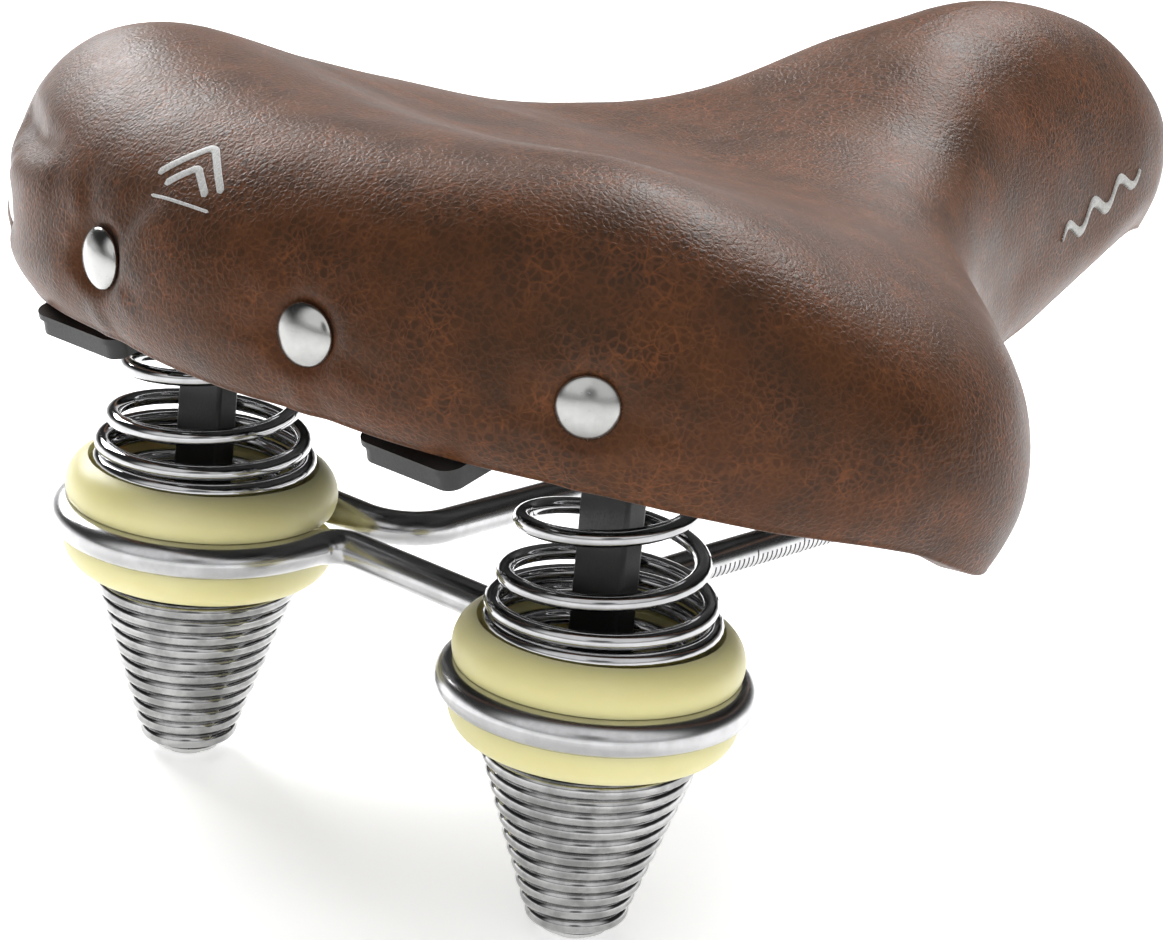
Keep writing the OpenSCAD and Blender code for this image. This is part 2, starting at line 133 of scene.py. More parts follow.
def weld(obj, distance=0.00001):
    """Joins doubled points and makes the faces look outward."""
    bm = bmesh.new()
    bm.from_mesh(obj.data)
    bmesh.ops.remove_doubles(bm, verts=bm.verts, dist=distance)
    bmesh.ops.recalc_face_normals(bm, faces=bm.faces)
    bm.to_mesh(obj.data)
    bm.free()
    obj.data.polygons.foreach_set("use_smooth", [True] * len(obj.data.polygons))
    obj.data.update()


def ring_faces(rows, cols, first=0):
    """Quads over rows of points that close round, numbered row by row."""
    faces = []
    for i in range(rows - 1):
        for j in range(cols):
            a = first + i * cols + j
            b = first + i * cols + (j + 1) % cols
            faces.append((a, b, b + cols, a + cols))
    return faces


def catmull(a, b, c, d, f):
    """A smooth curve from b to c, with a and d as the points on either side."""
    square = (2 * a - 5 * b + 4 * c - d) * f * f
    cube = (3 * b - a - 3 * c + d) * f * f * f
    return 0.5 * (2 * b + (c - a) * f + square + cube)


def finish_piece(obj, body, material, replaced=()):
    """Gives a piece its material and body, and hides the CAD nodes that it stands for."""
    obj.data.materials.clear()
    obj.data.materials.append(material)
    if body:
        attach(obj, body)
    if replaced:
        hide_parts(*replaced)
    return obj


# ---------------------------------------------------------------- materials
def add(tree, kind, inputs=None, **props):
    node = tree.nodes.new(kind)
    for key, value in props.items():
        setattr(node, key, value)
    for key, value in (inputs or {}).items():
        node.inputs[key].default_value = value
    return node


def link(tree, out, to):
    tree.links.new(out, to)


def new_material(name, **sockets):
    """A material with a Principled surface, its constant sockets set."""
    mat = bpy.data.materials.new(name)
    mat.use_nodes = True
    tree = mat.node_tree
    surface = tree.nodes["Principled BSDF"]
    for key, value in sockets.items():
        surface.inputs[key.replace("_", " ")].default_value = value
    return mat, tree, surface


def place(tree):
    """Object coordinates, in metres."""
    return add(tree, "ShaderNodeTexCoord").outputs["Object"]


def noise_of(tree, vector, scale, detail=3.0, rough=0.5):
    node = add(tree, "ShaderNodeTexNoise", {"Scale": scale, "Detail": detail, "Roughness": rough})
    link(tree, vector, node.inputs["Vector"])
    return node


def cells_of(tree, vector, scale, feature="F1"):
    node = add(tree, "ShaderNodeTexVoronoi", {"Scale": scale}, feature=feature)
    link(tree, vector, node.inputs["Vector"])
    return node.outputs["Distance"]


def remap(tree, value, low, high, to_low=0.0, to_high=1.0, smooth=True):
    limits = {"From Min": low, "From Max": high, "To Min": to_low, "To Max": to_high}
    node = add(tree, "ShaderNodeMapRange", limits)
    node.interpolation_type = "SMOOTHSTEP" if smooth else "LINEAR"
    link(tree, value, node.inputs["Value"])
    return node.outputs["Result"]


def maths(tree, operation, a, b):
    node = add(tree, "ShaderNodeMath", operation=operation)
    for socket, value in zip(node.inputs, (a, b)):
        if isinstance(value, (int, float)):
            socket.default_value = value
        else:
            link(tree, value, socket)
    return node.outputs[0]


def mix_colour(tree, factor, a, b, blend="MIX"):
    node = add(tree, "ShaderNodeMix", data_type="RGBA", blend_type=blend)
    for socket, value in ((node.inputs[0], factor), (node.inputs[6], a), (node.inputs[7], b)):
        if isinstance(value, (int, float)):
            socket.default_value = value
        elif isinstance(value, tuple):
            socket.default_value = value + (1.0,)
        else:
            link(tree, value, socket)
    return node.outputs[2]


def bump(tree, height, surface, strength, distance):
    node = add(tree, "ShaderNodeBump", {"Strength": strength, "Distance": distance})
    link(tree, height, node.inputs["Height"])
    link(tree, node.outputs["Normal"], surface.inputs["Normal"])


def warp(tree, vector, scale, amount):
    """The coordinates pushed about by noise, so that cells lose their straight sides."""
    wobble = noise_of(tree, vector, scale, 2.0).outputs["Color"]
    centred = add(tree, "ShaderNodeVectorMath", operation="SUBTRACT")
    link(tree, wobble, centred.inputs[0])
    centred.inputs[1].default_value = (0.5, 0.5, 0.5)
    scaled = add(tree, "ShaderNodeVectorMath", operation="SCALE")
    link(tree, centred.outputs[0], scaled.inputs[0])
    scaled.inputs["Scale"].default_value = amount
    moved = add(tree, "ShaderNodeVectorMath", operation="ADD")
    link(tree, vector, moved.inputs[0])
    link(tree, scaled.outputs[0], moved.inputs[1])
    return moved.outputs[0]


def leather_material():
    """Worn brown faux leather: fine pebble grain, a crackle of rusty veins, darker patches."""
    mat, tree, surface = new_material(
        "cover_leather", IOR=1.5, Specular_IOR_Level=0.18, Sheen_Weight=0.085, Sheen_Roughness=0.45)
    spot = place(tree)
    bent = warp(tree, warp(tree, spot, 300.0, 0.0020), 1100.0, 0.0003)
    wide = noise_of(tree, spot, 24.0, 3.0, 0.55).outputs["Fac"]
    patch = noise_of(tree, bent, 95.0, 5.0, 0.6).outputs["Fac"]
    fine = noise_of(tree, spot, 1500.0, 2.0).outputs["Fac"]
    base = mix_colour(tree, remap(tree, patch, 0.34, 0.66), (0.048, 0.018, 0.006), (0.078, 0.026, 0.006))
    base = mix_colour(tree, remap(tree, wide, 0.50, 0.70, 0.0, 0.5), base, (0.088, 0.028, 0.009))
    base = mix_colour(tree, remap(tree, wide, 0.46, 0.28, 0.0, 0.45), base, (0.030, 0.017, 0.009))
    large = cells_of(tree, bent, 250.0, "DISTANCE_TO_EDGE")
    small = cells_of(tree, bent, 640.0, "DISTANCE_TO_EDGE")
    streaks = noise_of(tree, bent, 85.0, 4.0, 0.65).outputs["Fac"]
    vein_share = remap(tree, streaks, 0.44, 0.64, 0.0, 0.40)
    vein = maths(tree, "MULTIPLY", remap(tree, large, 0.060, 0.006), vein_share)
    web_share = remap(tree, streaks, 0.32, 0.64, 0.16, 0.52)
    web = maths(tree, "MULTIPLY", remap(tree, small, 0.24, 0.02), web_share)
    colour = mix_colour(tree, web, base, (0.150, 0.052, 0.018))
    colour = mix_colour(tree, vein, colour, (0.230, 0.072, 0.022))
    colour = mix_colour(tree, remap(tree, fine, 0.35, 0.7, 0.0, 0.16), colour, (0.02, 0.012, 0.008))
    link(tree, colour, surface.inputs["Base Color"])
    link(tree, remap(tree, patch, 0.3, 0.7, 0.38, 0.46), surface.inputs["Roughness"])
    pebble = cells_of(tree, warp(tree, spot, 800.0, 0.0008), 1150.0, "F1")
    height = maths(tree, "MULTIPLY", remap(tree, pebble, 0.75, 0.05), 0.65)
    height = maths(tree, "ADD", height, maths(tree, "MULTIPLY", remap(tree, small, 0.0, 0.14), 0.38))
    height = maths(tree, "ADD", height, maths(tree, "MULTIPLY", fine, 0.25))
    bump(tree, height, surface, 0.37, 0.00022)
    return mat


def lining_material():
    """Grey-green cloth backing of the cover, seen only from below."""
    mat, tree, surface = new_material("cover_backing", Sheen_Weight=0.2)
    spot = place(tree)
    weave = noise_of(tree, spot, 900.0, 3.0).outputs["Fac"]
    colour = mix_colour(tree, remap(tree, weave, 0.3, 0.7), (0.07, 0.075, 0.06), (0.13, 0.135, 0.11))
    link(tree, colour, surface.inputs["Base Color"])
    link(tree, remap(tree, weave, 0.3, 0.7, 0.7, 0.85), surface.inputs["Roughness"])
    bump(tree, weave, surface, 0.4, 0.0002)
    return mat


def foam_material():
    mat, tree, surface = new_material("moulded_foam")
    spot = place(tree)
    pores = cells_of(tree, spot, 1500.0)
    colour = mix_colour(tree, remap(tree, pores, 0.1, 0.6), (0.42, 0.38, 0.26), (0.62, 0.57, 0.42))
    link(tree, colour, surface.inputs["Base Color"])
    surface.inputs["Roughness"].default_value = 0.9
    bump(tree, pores, surface, 0.5, 0.0003)
    return mat


def metal_material(name, colour, rough_low, rough_high, grain_scale, grain, scratch=0.0, patch=0.86):
    """A plated metal with uneven roughness and a fine grain; patch is how bright its darker parts are."""
    mat, tree, surface = new_material(name, Metallic=1.0)
    spot = place(tree)
    cloud = noise_of(tree, spot, 160.0, 4.0, 0.6).outputs["Fac"]
    speck = noise_of(tree, spot, grain_scale, 2.0).outputs["Fac"]
    dark = tuple(c * patch for c in colour)
    tint = mix_colour(tree, remap(tree, cloud, 0.35, 0.65), colour, dark)
    link(tree, tint, surface.inputs["Base Color"])
    rough = remap(tree, cloud, 0.3, 0.7, rough_low, rough_high)
    if scratch:
        stretched = add(tree, "ShaderNodeMapping", {"Scale": (1.0, 0.06, 1.0), "Rotation": (0.4, 0.9, 0.3)})
        link(tree, spot, stretched.inputs["Vector"])
        lines = noise_of(tree, stretched.outputs[0], 2600.0, 3.0, 0.7).outputs["Fac"]
        marks = remap(tree, lines, 0.62, 0.74, 0.0, scratch)
        rough = maths(tree, "ADD", rough, marks)
    link(tree, rough, surface.inputs["Roughness"])
    bump(tree, speck, surface, grain, 0.00004)
    return mat


def rubber_material():
    """Cream elastomer, a little translucent, with faint moulding haze."""
    mat, tree, surface = new_material(
        "cream_elastomer", Subsurface_Weight=0.35, Subsurface_Scale=0.004, IOR=1.47)
    surface.inputs["Subsurface Radius"].default_value = (1.0, 0.9, 0.45)
    spot = place(tree)
    cloud = noise_of(tree, spot, 45.0, 3.0).outputs["Fac"]
    dust = noise_of(tree, spot, 1200.0, 3.0).outputs["Fac"]
    colour = mix_colour(tree, remap(tree, cloud, 0.3, 0.7), (0.78, 0.72, 0.34), (0.84, 0.78, 0.42))
    link(tree, colour, surface.inputs["Base Color"])
    link(tree, remap(tree, dust, 0.3, 0.7, 0.36, 0.46), surface.inputs["Roughness"])
    bump(tree, dust, surface, 0.12, 0.00008)
    return mat


def plastic_material(name, colour, rough, grain):
    """Moulded black plastic with a fine eroded texture."""
    mat, tree, surface = new_material(name, IOR=1.49)
    spot = place(tree)
    grit = noise_of(tree, spot, 1900.0, 3.0, 0.6).outputs["Fac"]
    cloud = noise_of(tree, spot, 60.0, 3.0).outputs["Fac"]
    lighter = tuple(c * 1.7 + 0.004 for c in colour)
    tint = mix_colour(tree, remap(tree, cloud, 0.35, 0.7), colour, lighter)
    link(tree, tint, surface.inputs["Base Color"])
    link(tree, remap(tree, grit, 0.3, 0.7, rough - 0.06, rough + 0.08), surface.inputs["Roughness"])
    bump(tree, grit, surface, grain, 0.0001)
    return mat


def paint_material(name, colour, rough, sheen=0.0):
    """Printed or stitched marks: pale silver with slight mottling."""
    mat, tree, surface = new_material(name, Sheen_Weight=sheen)
    spot = place(tree)
    grit = noise_of(tree, spot, 2300.0, 3.0, 0.6).outputs["Fac"]
    dim = tuple(c * 0.72 for c in colour)
    link(tree, mix_colour(tree, remap(tree, grit, 0.35, 0.65), dim, colour), surface.inputs["Base Color"])
    link(tree, remap(tree, grit, 0.3, 0.7, rough - 0.08, rough + 0.08), surface.inputs["Roughness"])
    bump(tree, grit, surface, 0.3, 0.0001)
    return mat


def floor_material():
    mat, tree, surface = new_material("studio_floor")
    spot = place(tree)
    faint = noise_of(tree, spot, 3.0, 2.0).outputs["Fac"]
    link(tree, mix_colour(tree, faint, (0.86, 0.86, 0.86), (0.9, 0.9, 0.9)), surface.inputs["Base Color"])
    surface.inputs["Roughness"].default_value = 0.7
    surface.inputs["Emission Color"].default_value = (1.0, 1.0, 1.0, 1.0)
    surface.inputs["Emission Strength"].default_value = 0.52
    return mat


# ---------------------------------------------------------------- the seat's surface
def outline(turn):
    """Rows of the outline at places 0 to 24 round the seat, and the outward normals there."""
    half = [np.array(p, float) for p in PLAN]
    loop = half + [p * np.array([1, -1, 1, 1, 1]) for p in half[-2:0:-1]]
    loop = np.array(loop)
    count = len(loop)

    def at(s):
        i = np.floor(s).astype(int)
        f = (s - i)[:, None]
        return catmull(*(loop[(i + k) % count] for k in (-1, 0, 1, 2)), f)

    rows = at(turn)
    ahead = at(turn + 0.01) - at(turn - 0.01)
    normal = np.stack([ahead[:, 1], -ahead[:, 0]], 1)
    normal /= np.linalg.norm(normal, axis=1)[:, None]
    return rows, normal


def crest(table, x):
    s = np.clip((x - CREST_X0) / CREST_STEP, 0, len(table) - 1.001)
    i = np.floor(s).astype(int)
    values = np.array(table, float)

    def pick(k):
        return values[np.clip(k, 0, len(table) - 1)]

    return catmull(pick(i - 1), pick(i), pick(i + 1), pick(i + 2), s - i)


def lobes(x, y):
    return 7.5 * np.exp(-((x + 80) / 45) ** 2 - ((np.abs(y) - 69) / 36) ** 2)


def seat_rows(turn, stations, skirt, inset):
    """Points of the seat skin, row by row: from the spine out to the widest line, then down the skirt."""
    rows, normal = outline(turn)
    x, y, widest, lower, tuck = rows.T
    ox = x - normal[:, 0] * inset
    oy = y - normal[:, 1] * inset
    spine = np.clip(ox, *SPINE_X)
    power = 3.5 - 1.5 * np.clip((x - 12) / 60, 0, 1)
    out = []
    for r in stations:
        px = spine + (ox - spine) * r
        py = oy * r
        top = crest(SEAT_CREST, px) + lobes(px, py) - inset
        fall = np.maximum(0, 1 - r ** power) ** (1 / 2.35)
        out.append(np.stack([px, py, widest + (top - widest) * fall], 1))
    for k in skirt:
        shift = tuck * k * k
        z = widest + (lower - widest) * k
        out.append(np.stack([ox - normal[:, 0] * shift, oy - normal[:, 1] * shift, z], 1))
    return np.array(out)


def shell_rows(turn, stations, skirt, inset, drop, lift):
    """Points of the base shell, in the same order."""
    rows, normal = outline(turn)
    x, y, widest, lower, tuck = rows.T
    widest = widest - 2
    ox = x - normal[:, 0] * inset
    oy = y - normal[:, 1] * inset
    spine = np.clip(ox, *SPINE_X)
    out = []
    for r in stations:
        px = spine + (ox - spine) * r
        py = oy * r
        top = np.maximum(widest + 1, crest(BASE_CREST, px)) - drop
        fall = np.maximum(0, 1 - r ** 5) ** (1 / 2.4)
        out.append(np.stack([px, py, widest + (top - widest) * fall], 1))
    for k in skirt:
        shift = tuck * k * k
        z = widest + (lower + lift - widest) * k
        out.append(np.stack([ox - normal[:, 0] * shift, oy - normal[:, 1] * shift, z], 1))
    return np.array(out)


def grid_normals(grid):
    """Outward normals of a grid of rows that close round the seat."""
    across = np.roll(grid, -1, axis=1) - np.roll(grid, 1, axis=1)
    down = np.gradient(grid, axis=0)
    normal = np.cross(down, across)
    length = np.linalg.norm(normal, axis=2, keepdims=True)
    normal = np.where(length > 1e-9, normal / np.maximum(length, 1e-9), np.array([0.0, 0.0, 1.0]))
    if normal[1, 0, 2] < 0:
        normal = -normal
    normal[0] = (0, 0, 1)
    return normal


def rivet_frames():
    """Place, outward direction and sideways direction of the four rivets."""
    found = []
    for x, y, z, turn in RIVETS:
        for side in (1, -1):
            a = math.radians(turn)
            outward = np.array([-math.cos(a), side * math.sin(a), 0.0])
            sideways = np.array([-outward[1], outward[0], 0.0])
            found.append((np.array([x, side * y, z]), outward, sideways))
    return found


def along_path(points, path):
    """Distance of each point from a polyline, and how far along it (0 to 1) the nearest place is."""
    best = np.full(points.shape[:-1], 1e9)
    where = np.zeros(points.shape[:-1])
    steps = len(path) - 1
    for i in range(steps):
        a, b = np.array(path[i], float), np.array(path[i + 1], float)
        d = b - a
        t = np.clip(((points - a) @ d) / (d @ d), 0, 1)
        gap = np.linalg.norm(points - (a + t[..., None] * d), axis=-1)
        nearer = gap < best
        best = np.where(nearer, gap, best)
        where = np.where(nearer, (i + t) / steps, where)
    return best, where


# folds: points on the left side, depth (inward is positive), half width, whether the right side has it too
FOLDS = [
    ([(-103, 84, 78), (-108, 76, 79), (-114, 68.5, 80), (-120, 59.5, 80.5), (-125, 47, 83)], 2.3, 3.6, False),
    ([(-106, 83, 71), (-112, 75, 72), (-118, 66, 73), (-125, 54, 74), (-129, 43, 76.5)], -1.6, 5.0, False),
    ([(-134, 21, 72), (-133, 17, 78), (-131, 12, 84)], 0.9, 2.6, False),
    ([(-131, 18, 86), (-134, 22, 78), (-135, 25, 73)], 0.5, 4.0, True),
    ([(-62, 109, 48), (-45, 109.5, 40), (-30, 107, 33)], 0.6, 5.0, True),
    ([(-72, 104, 60), (-50, 110, 49), (-34, 109, 42)], -0.5, 6.0, True),
]


def relief(grid):
    """How far each point sinks inward: dimples and puckers round the rivets, and folds."""
    sink = np.zeros(grid.shape[:2])
    for centre, outward, sideways in rivet_frames():
        offset = grid - (centre + outward * RIVET_DIMPLE_OUT)
        across = offset @ sideways
        above = offset[..., 2]
        gap = np.sqrt(across ** 2 + above ** 2 + (offset @ outward) ** 2)
        sink += 2.2 * np.exp(-(gap / 7.3) ** 6) + 1.8 * np.exp(-(gap / 14.5) ** 2)
        angle = np.arctan2(above, across)
        ring = np.exp(-((gap - 12.5) / 4.5) ** 2)
        sink += 0.20 * ring * np.cos(6 * angle + 0.7) + 0.12 * ring * np.cos(11 * angle + 2.0)
    mirrored = grid * np.array([1, -1, 1])
    for path, depth, half_width, both in FOLDS:
        for points in (grid, mirrored) if both else (grid,):
            gap, where = along_path(points, path)
            fade = np.sin(np.pi * np.clip(where, 0.02, 0.98)) ** 0.5
            sink += depth * np.exp(-(gap / half_width) ** 2) * fade
    return sink


def unevenness(grid):
    """Gentle waves of upholstery, the same every run."""
    out = np.zeros(grid.shape[:2])
    for i in range(grid.shape[0]):
        for j in range(grid.shape[1]):
            p = Vector(grid[i, j])
            out[i, j] = 0.30 * noise.noise(p / 26.0) + 0.10 * noise.noise(p / 9.0 + Vector((7, 3, 1)))
    return out


COVER_COLS = 480
TURN = np.arange(COVER_COLS) * (24.0 / COVER_COLS)
BODY_EDGE = 0.6
OUTER_STATIONS = np.concatenate([
    np.linspace(0, BODY_EDGE, 24, endpoint=False),
    np.sin(np.linspace(math.asin(BODY_EDGE ** 1.75), math.pi / 2, 46)) ** (1 / 1.75)])
SKIRT = np.linspace(0, 1, 25)[1:]


def cover_grid():
    """The cover's outer face with its relief, and its outward normals."""
    flat = seat_rows(TURN, OUTER_STATIONS, SKIRT, 0.0)
    normal = grid_normals(flat)
    rise = unevenness(flat) - relief(flat)
    grid = flat + normal * rise[..., None]
    grid[0] = flat[0]
    return grid, grid_normals(grid)


def hem_rows(edge, flat_normal):
    """The hem rolls under the lower edge, runs in below the shell's rim and turns up inside it."""
    radius = 0.8
    rim = 7.6
    out = []
    side = np.concatenate([flat_normal, np.zeros((len(flat_normal), 1))], axis=1)
    turns = np.linspace(0.35, math.pi / 2, 5)
    profile = [(-radius + radius * math.cos(a), -radius * math.sin(a)) for a in turns]
    profile += [(-3.0, -radius), (-5.2, -radius), (-rim + 0.4, -radius), (-rim, -radius + 0.4)]
    profile += [(-rim, 1.2), (-rim, 2.8), (-rim + 0.3, 3.2)]
    profile += [(-rim + COVER_T - 0.2, 3.2), (-rim + COVER_T, 2.8)]
    profile += [(-rim + COVER_T, 0.5), (-5.0, 0.35), (-3.0, 0.35), (-COVER_T - 0.1, 0.5)]
    for across, up in profile:
        out.append(edge + side * across + np.array([0, 0, up]))
    return out


def build_cover(grid, normal, leather, lining):
    """One closed sheet: outer face, rolled hem and inner face."""
    _, flat_normal = outline(TURN)
    outer = [row for row in grid]
    hem = hem_rows(grid[-1], flat_normal)
    inner_grid = grid - normal * COVER_T
    inner = [inner_grid[i] for i in range(len(grid) - 3, 0, -4)] + [inner_grid[0]]
    rows = np.array(outer + hem + inner)
    faces = ring_faces(len(rows), COVER_COLS)
    cover = new_object("seat_cover", rows.reshape(-1, 3), faces)
    first_lining = (len(outer) + 8) * COVER_COLS
    cover.data.materials.append(leather)
    cover.data.materials.append(lining)
    which = [1 if f[0] >= first_lining else 0 for f in faces]
    cover.data.polygons.foreach_set("material_index", which)
    weld(cover)
    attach(cover, TOP)
    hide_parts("cover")
    return cover


def build_foam(grid, normal, foam):
    """The pad between the cover and the shell, following the cover's dimples."""
    step = 3
    outer_grid = (grid - normal * (COVER_T + 0.15))[:, ::step]
    turn = TURN[::step]
    outer = [outer_grid[i] for i in range(0, len(grid) - 2, 3)]
    stations = np.sin(np.linspace(0, 1, 16) * math.pi / 2)
    shell = shell_rows(turn, stations, np.linspace(0, 1, 6)[1:], COVER_T + FOAM_SIDE - 0.15, -0.15, 1.2)
    rows = np.array(outer + [row for row in shell[::-1]])
    pad = new_object("seat_foam", rows.reshape(-1, 3), ring_faces(len(rows), len(turn)))
    weld(pad)
    finish_piece(pad, TOP, foam, ("foam_pad",))
    return pad


# ---------------------------------------------------------------- springs
def coil_at(turn):
    """Wire centre radius and height at a turn number."""
    i = 0
    while i < len(COIL) - 2 and turn > COIL[i + 1][0]:
        i += 1
    f = (turn - COIL[i][0]) / (COIL[i + 1][0] - COIL[i][0])
    ring = [COIL[max(0, i - 1)], COIL[i], COIL[i + 1], COIL[min(len(COIL) - 1, i + 2)]]
    return [catmull(*(p[k] for p in ring), f) for k in (1, 2)]


# rounded end of a wire: how far in from the tip, and the size there, as shares of the radius
TUBE_END = [(0.0, 0.35), (0.45, 0.8), (0.8, 0.96)]


def tube(name, points, radius, sides=16):
    """A closed tube along points in millimetres, with rounded ends."""
    points = [Vector(p) for p in points]
    count = len(points)
    ways = [(points[min(i + 1, count - 1)] - points[max(i - 1, 0)]).normalized() for i in range(count)]
    head = [
        (points[0] - ways[0] * radius * (1 - far), ways[0], radius * size) for far, size in TUBE_END]
    tail = [
        (points[-1] + ways[-1] * radius * (1 - far), ways[-1], radius * size) for far, size in TUBE_END[::-1]]
    line = head + list(zip(points, ways, [radius] * count)) + tail
    across = line[0][1].orthogonal().normalized()
    verts = []
    for centre, way, r in line:
        across = (across - way * across.dot(way)).normalized()
        up = way.cross(across)
        for k in range(sides):
            a = 2 * math.pi * k / sides
            verts.append(centre + (across * math.cos(a) + up * math.sin(a)) * r)
    faces = ring_faces(len(line), sides)
    faces.append(tuple(range(sides - 1, -1, -1)))
    last = (len(line) - 1) * sides
    faces.append(tuple(last + k for k in range(sides)))
    obj = new_object(name, verts, faces)
    weld(obj, 1e-7)
    return obj


def build_spring(side, first, last, name, start_z, end_z, chrome, replaced):
    """A length of the coil spring, from one turn number to another."""
    low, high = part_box(f"{side}_elastomer")
    axis = (low + high) / (2 * MM)
    steps = int((last - first) * 44)
    points = []
    for i in range(steps + 1):
        turn = first + (last - first) * i / steps
        r, z = coil_at(turn)
        a = math.radians(COIL_PHASE + 360 * turn)
        points.append((axis.x + r * math.cos(a), axis.y + r * math.sin(a), z))
    spring = tube(name, points, SPRING_WIRE / 2)
    spring.data.materials.append(chrome)
    if replaced:
        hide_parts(replaced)
    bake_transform(spring)
    return spring


# ---------------------------------------------------------------- rivets, marks and ticks
def build_rivets(metal):
    """Four domed rivets with rolled rims and shanks."""
    dome = [(0.0, 1.95), (1.1, 1.91), (2.2, 1.77), (3.2, 1.52), (4.1, 1.18), (4.85, 0.78)]
    rim = [(5.4, 0.42), (5.68, 0.12), (5.79, -0.15), (5.73, -0.42), (5.5, -0.6), (5.0, -0.66)]
    shank = [(2.2, -0.66), (1.9, -0.9), (1.8, -8.8), (1.2, -9.2), (0.0, -9.3)]
    profile = dome + rim + shank
    sides = 64
    verts, faces = [], []
    for number, (centre, outward, sideways) in enumerate(rivet_frames()):
        centre = centre - outward * RIVET_PRESS[number // 2]
        first = len(verts)
        for radius, height in profile:
            for k in range(sides):
                a = 2 * math.pi * k / sides
                ring = sideways * math.cos(a) + np.array([0, 0, 1.0]) * math.sin(a)
                verts.append(centre + outward * height + ring * radius)
        faces += ring_faces(len(profile), sides, first)
    rivets = new_object("dome_rivets", verts, faces)
    weld(rivets)
    return finish_piece(rivets, TOP, metal, ("cover_rivets",))


def drop_on(cover_tree, origin, outward):
    """The place and normal on the cover straight below a point held off it."""
    start = origin + outward * 20.0
    hit, normal, _, _ = cover_tree.ray_cast(Vector(start * MM), Vector(-outward))
    if hit is None:
        hit, normal, _, _ = cover_tree.find_nearest(Vector(origin * MM))
    if normal.dot(Vector(outward)) < 0:
        normal = -normal
    return np.array(hit) / MM, np.array(normal)


def arc(cx, cy, r, start, end, steps=14):
    span = [math.radians(start + (end - start) * i / steps) for i in range(steps + 1)]
    return [(cx + r * math.cos(a), cy + r * math.sin(a)) for a in span]


def spread(path, pitch):
    """The same path with a point about every pitch."""
    out = [np.array(path[0], float)]
    for a, b in zip(path[:-1], path[1:]):
        a, b = np.array(a, float), np.array(b, float)
        count = max(1, int(round(np.linalg.norm(b - a) / pitch)))
        out += [a + (b - a) * (i + 1) / count for i in range(count)]
    return out


def lay_ribbons(name, cover_tree, centre, across, up, outward, ribbons, thick):
    """Flat ribbons laid on the cover, each a path in the plane with its own width."""
    verts, faces = [], []
    for path, width in ribbons:
        line = spread(path, 0.5)
        count = len(line)
        first = len(verts)
        run = np.cumsum([0.0] + [float(np.linalg.norm(line[i + 1] - line[i])) for i in range(count - 1)])
        for i, p in enumerate(line):
            way = line[min(i + 1, count - 1)] - line[max(i - 1, 0)]
            way = way / max(np.linalg.norm(way), 1e-9)
            side = np.array([-way[1], way[0]])
            end_gap = min(run[i], run[-1] - run[i])
            full = width / 2
            half = full if end_gap >= full else math.sqrt(max(full ** 2 - (full - end_gap) ** 2, 0.01))
            for reach, height in ((-1, -0.1), (-1, 0.6), (-0.8, 1.0), (0.8, 1.0), (1, 0.6), (1, -0.1)):
                q = p + side * half * reach
                place_3d = centre + across * q[0] + up * q[1]
                hit, normal = drop_on(cover_tree, place_3d, outward)
                verts.append(hit + normal * thick * height)
        faces += ring_faces(count, 6, first)
        faces.append(tuple(first + k for k in range(5, -1, -1)))
        faces.append(tuple(first + (count - 1) * 6 + k for k in range(6)))
    obj = new_object(name, verts, faces)
    weld(obj, 1e-7)
    return obj


def build_print(cover_tree, ink):
    """A plain printed emblem on the rear face: two nested rounded chevrons over a thin bar."""
    outward = np.array([-math.cos(math.radians(38)), 0, math.sin(math.radians(38))])
    across = np.array([0.0, -1.0, 0.0])
    up = np.cross(across, -outward)
    up = up if up[2] > 0 else -up
    centre = np.array([-129.0, 6.5, 88.5])
    outer = [(-8.5, -2.5)] + arc(0, 3.4, 1.6, 135, 45, 8) + [(8.5, -2.5)]
    inner = [(-5.6, -4.0)] + arc(0, -0.9, 1.2, 135, 45, 8) + [(5.6, -4.0)]
    bar = [(-8.0, -6.4), (8.0, -6.4)]
    ribbons = [(outer, 1.5), (inner, 1.5), (bar, 0.6)]
    mark = lay_ribbons("printed_emblem", cover_tree, centre, across, up, outward, ribbons, 0.12)
    return finish_piece(mark, TOP, ink)


def build_stitching(cover_tree, thread):
    """A satin-stitched wave on the right side of the nose."""
    outward = np.array([0.12, -0.93, 0.34])
    outward /= np.linalg.norm(outward)
    along = np.array([34.0, 5.0, 10.0])
    along = along - outward * (along @ outward)
    along /= np.linalg.norm(along)
    up = np.cross(outward, along)
    up = up if up[2] > 0 else -up
    centre = np.array([102.0, -25.5, 58.0])
    length, threads, waves, swing = 34.0, 118, 3, 1.9
    thread_r, rings, sides = 0.17, 7, 6
    lean = np.array([0.35, 1.0]) / math.hypot(0.35, 1.0)
    verts, faces = [], []
    for i in range(threads):
        t = i / (threads - 1)
        x = (t - 0.5) * length
        y = swing * math.sin(t * 2 * math.pi * waves)
        swell = 0.35 + 0.65 * max(0.0, math.sin(math.pi * t)) ** 0.4
        reach = 1.15 * swell + 0.05 * math.sin(i * 2.4)
        line = []
        for k in range(rings):
            f = -1 + 2 * k / (rings - 1)
            q = np.array([x, y]) + lean * reach * f
            hit, normal = drop_on(cover_tree, centre + along * q[0] + up * q[1], outward)
            line.append(hit + normal * (0.42 * math.sqrt(max(0.0, 1 - f * f)) - 0.04))
        first = len(verts)
        for p in line:
            for s in range(sides):
                a = 2 * math.pi * s / sides
                verts.append(p + (along * math.cos(a) + outward * math.sin(a)) * thread_r)
        faces += ring_faces(rings, sides, first)
        faces.append(tuple(first + k for k in range(sides - 1, -1, -1)))
        faces.append(tuple(first + (rings - 1) * sides + k for k in range(sides)))
    motif = new_object("stitched_wave", verts, faces)
    weld(motif, 1e-7)
    return finish_piece(motif, TOP, thread)


